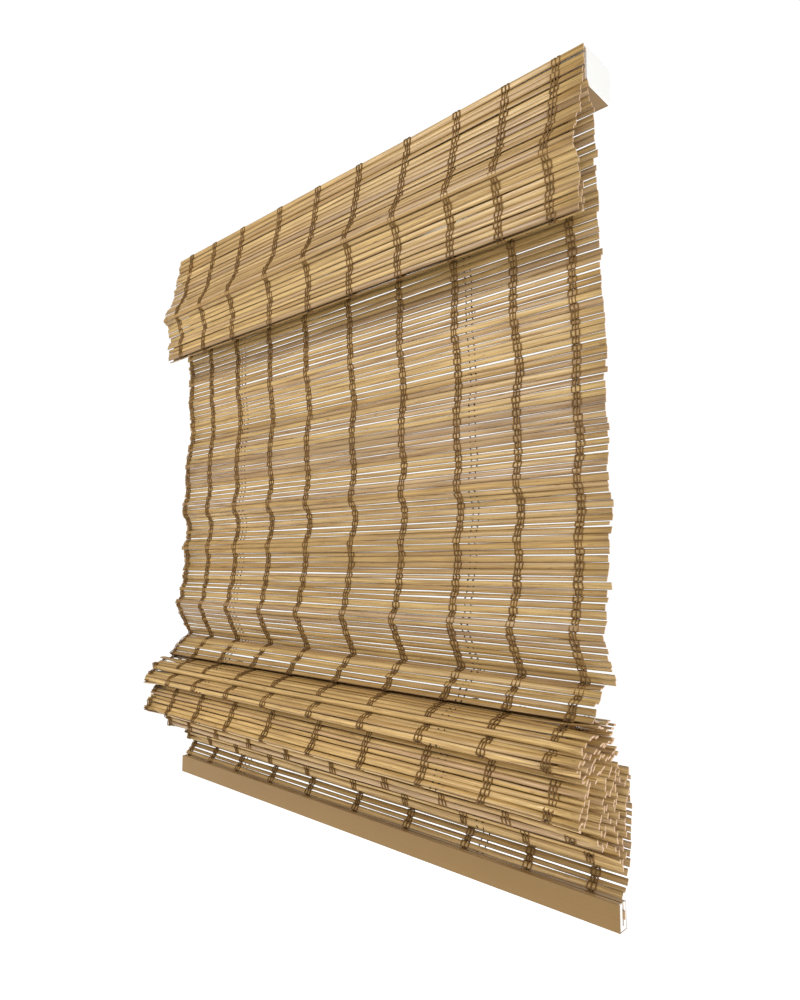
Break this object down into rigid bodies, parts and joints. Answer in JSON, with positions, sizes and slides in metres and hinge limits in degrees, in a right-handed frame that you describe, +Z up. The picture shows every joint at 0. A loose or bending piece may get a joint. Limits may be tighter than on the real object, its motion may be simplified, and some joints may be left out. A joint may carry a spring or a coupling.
{
  "type": "woven bamboo roman shade",
  "caption": "Cordless Roman shade of woven bamboo slats with a box headrail, a short valance, lift gear, and hanging folds gathered above a slotted bottom rail.",
  "frame": {"origin": "middle of the headrail top face", "axes": "+X to the right along the headrail, +Y towards the window, +Z up"},
  "size_m": [0.762, 0.1016, 0.856],
  "materials": {
    "woven_bamboo": "split bamboo slats, satin, woven with brown thread",
    "tan_wrap": "satin wood-tone wrap",
    "white_plastic": "plain moulded white",
    "grey_plastic": "moulded grey",
    "hook_tape": "hook-and-loop pile",
    "steel": "bright drawn steel"
  },
  "bodies": {
    "headrail": {"headrail_channel": "tan_wrap", "headrail_cover": "tan_wrap", "end_cap_left": "white_plastic", "end_cap_right": "white_plastic", "shaft_bearing_left": "steel", "shaft_bearing_right": "steel", "spool_cradle_left": "grey_plastic", "spool_cradle_right": "grey_plastic", "motor_housing": "white_plastic", "storage_axle": "steel", "cord_eyelet_left": "white_plastic", "cord_eyelet_right": "white_plastic", "valance_tape": "hook_tape", "top_band": "woven_bamboo", "ring_top_band_left": "steel", "ring_top_band_right": "steel"},
    "lift_shaft": {"lift_shaft": "steel", "cord_spool_left": "grey_plastic", "cord_spool_right": "grey_plastic", "output_drum": "grey_plastic"},
    "storage_drum": {"storage_drum": "grey_plastic", "power_spring": "steel"},
    "valance": {"valance_panel": "woven_bamboo", "valance_hem": "woven_bamboo"},
    "panel_a_upper": {"panel_a_upper": "woven_bamboo"},
    "panel_a_lower": {"panel_a_lower": "woven_bamboo", "ring_panel_a_lower_left": "steel", "ring_panel_a_lower_right": "steel"},
    "panel_b_upper": {"panel_b_upper": "woven_bamboo"},
    "panel_b_lower": {"panel_b_lower": "woven_bamboo"},
    "shelf_upper": {"shelf_upper": "woven_bamboo", "ring_gather_left": "steel", "ring_gather_right": "steel"},
    "shelf_lower": {"shelf_lower": "woven_bamboo", "ring_shelf_lower_left": "steel", "ring_shelf_lower_right": "steel"},
    "loop_1_front": {"loop_1_front": "woven_bamboo"},
    "loop_1_back": {"loop_1_back": "woven_bamboo", "ring_loop_1_back_left": "steel", "ring_loop_1_back_right": "steel"},
    "loop_2_front": {"loop_2_front": "woven_bamboo"},
    "loop_2_back": {"loop_2_back": "woven_bamboo", "ring_loop_2_back_left": "steel", "ring_loop_2_back_right": "steel"},
    "loop_3_front": {"loop_3_front": "woven_bamboo"},
    "loop_3_back": {"loop_3_back": "woven_bamboo", "ring_loop_3_back_left": "steel", "ring_loop_3_back_right": "steel"},
    "loop_4_front": {"loop_4_front": "woven_bamboo"},
    "loop_4_back": {"loop_4_back": "woven_bamboo", "ring_loop_4_back_left": "steel", "ring_loop_4_back_right": "steel"},
    "hem_panel": {"hem_panel": "woven_bamboo"},
    "hem_rail": {"hem_tongue": "woven_bamboo", "rail_core": "white_plastic", "rail_wrap": "tan_wrap", "cord_anchor_left": "grey_plastic", "cord_anchor_right": "grey_plastic"}
  },
  "joints": [
    {"name": "valance_swing", "type": "hinge", "parent": "headrail", "child": "valance", "pos_m": [0, -0.0306, -0.001], "axis": [-1, 0, 0], "range_deg": [0, 80]},
    {"name": "raise", "type": "hinge", "parent": "headrail", "child": "panel_a_upper", "pos_m": [0, -0.0055, -0.238], "axis": [-1, 0, 0], "range_deg": [0, 78]},
    {"name": "fold_a", "type": "hinge", "parent": "panel_a_upper", "child": "panel_a_lower", "pos_m": [0, -0.003, -0.337], "axis": [-1, 0, 0], "range_deg": [-156, 0]},
    {"name": "gather_ab", "type": "hinge", "parent": "panel_a_lower", "child": "panel_b_upper", "pos_m": [0, -0.0035, -0.436], "axis": [-1, 0, 0], "range_deg": [0, 156]},
    {"name": "fold_b", "type": "hinge", "parent": "panel_b_upper", "child": "panel_b_lower", "pos_m": [0, -0.007, -0.535], "axis": [-1, 0, 0], "range_deg": [-156, 0]},
    {"name": "gather_level", "type": "hinge", "parent": "panel_b_lower", "child": "shelf_upper", "pos_m": [0, 0.0035, -0.633], "axis": [-1, 0, 0], "range_deg": [0, 78]},
    {"name": "lower", "type": "hinge", "parent": "shelf_upper", "child": "shelf_lower", "pos_m": [0, -0.0315, -0.663], "axis": [-1, 0, 0], "range_deg": [0, 86.09]},
    {"name": "crease_1_top", "type": "hinge", "parent": "shelf_lower", "child": "loop_1_front", "pos_m": [0, 0.0035, -0.668], "axis": [-1, 0, 0], "range_deg": [-154.68, 0]},
    {"name": "crease_1_tip", "type": "hinge", "parent": "loop_1_front", "child": "loop_1_back", "pos_m": [0, -0.0735, -0.701], "axis": [-1, 0, 0], "range_deg": [0, 177.78]},
    {"name": "crease_2_top", "type": "hinge", "parent": "loop_1_back", "child": "loop_2_front", "pos_m": [0, 0.0005, -0.678], "axis": [-1, 0, 0], "range_deg": [-158.97, 0]},
    {"name": "crease_2_tip", "type": "hinge", "parent": "loop_2_front", "child": "loop_2_back", "pos_m": [0, -0.0735, -0.744], "axis": [-1, 0, 0], "range_deg": [0, 176.28]},
    {"name": "crease_3_top", "type": "hinge", "parent": "loop_2_back", "child": "loop_3_front", "pos_m": [0, 0.0025, -0.691], "axis": [-1, 0, 0], "range_deg": [-148.78, 0]},
    {"name": "crease_3_tip", "type": "hinge", "parent": "loop_3_front", "child": "loop_3_back", "pos_m": [0, -0.0295, -0.776], "axis": [-1, 0, 0], "range_deg": [0, 177.57]},
    {"name": "crease_4_top", "type": "hinge", "parent": "loop_3_back", "child": "loop_4_front", "pos_m": [0, 0.0065, -0.704], "axis": [-1, 0, 0], "range_deg": [-156.79, 0]},
    {"name": "crease_4_tip", "type": "hinge", "parent": "loop_4_front", "child": "loop_4_back", "pos_m": [0, 0.0065, -0.804], "axis": [-1, 0, 0], "range_deg": [0, 172.02]},
    {"name": "hem_crease", "type": "hinge", "parent": "loop_4_back", "child": "hem_panel", "pos_m": [0, 0.0245, -0.712], "axis": [-1, 0, 0], "range_deg": [-179.85, 0]},
    {"name": "rail_level", "type": "hinge", "parent": "hem_panel", "child": "hem_rail", "pos_m": [0, 0.00525, -0.8293], "axis": [-1, 0, 0], "range_deg": [0, 9.33]},
    {"name": "shaft_turn", "type": "hinge", "parent": "headrail", "child": "lift_shaft", "pos_m": [0, -0.0096, -0.019], "axis": [1, 0, 0], "range_deg": [0, 1404]},
    {"name": "storage_turn", "type": "hinge", "parent": "headrail", "child": "storage_drum", "pos_m": [0.06, 0.0133, -0.019], "axis": [1, 0, 0], "range_deg": [-1404, 0]}
  ],
  "couplings": [
    {"joint": "fold_a", "follows": "raise", "ratio": -2},
    {"joint": "gather_ab", "follows": "raise", "ratio": 2},
    {"joint": "fold_b", "follows": "raise", "ratio": -2},
    {"joint": "gather_level", "follows": "raise", "ratio": 1},
    {"joint": "crease_1_top", "follows": "lower", "ratio": -1.7966},
    {"joint": "crease_1_tip", "follows": "lower", "ratio": 2.065},
    {"joint": "crease_2_top", "follows": "lower", "ratio": -1.8465},
    {"joint": "crease_2_tip", "follows": "lower", "ratio": 2.0476},
    {"joint": "crease_3_top", "follows": "lower", "ratio": -1.7281},
    {"joint": "crease_3_tip", "follows": "lower", "ratio": 2.0625},
    {"joint": "crease_4_top", "follows": "lower", "ratio": -1.8211},
    {"joint": "crease_4_tip", "follows": "lower", "ratio": 1.9981},
    {"joint": "hem_crease", "follows": "lower", "ratio": -2.089},
    {"joint": "rail_level", "follows": "lower", "ratio": 0.10826},
    {"joint": "shaft_turn", "follows": "raise", "ratio": 18},
    {"joint": "storage_turn", "follows": "raise", "ratio": -18}
  ]
}
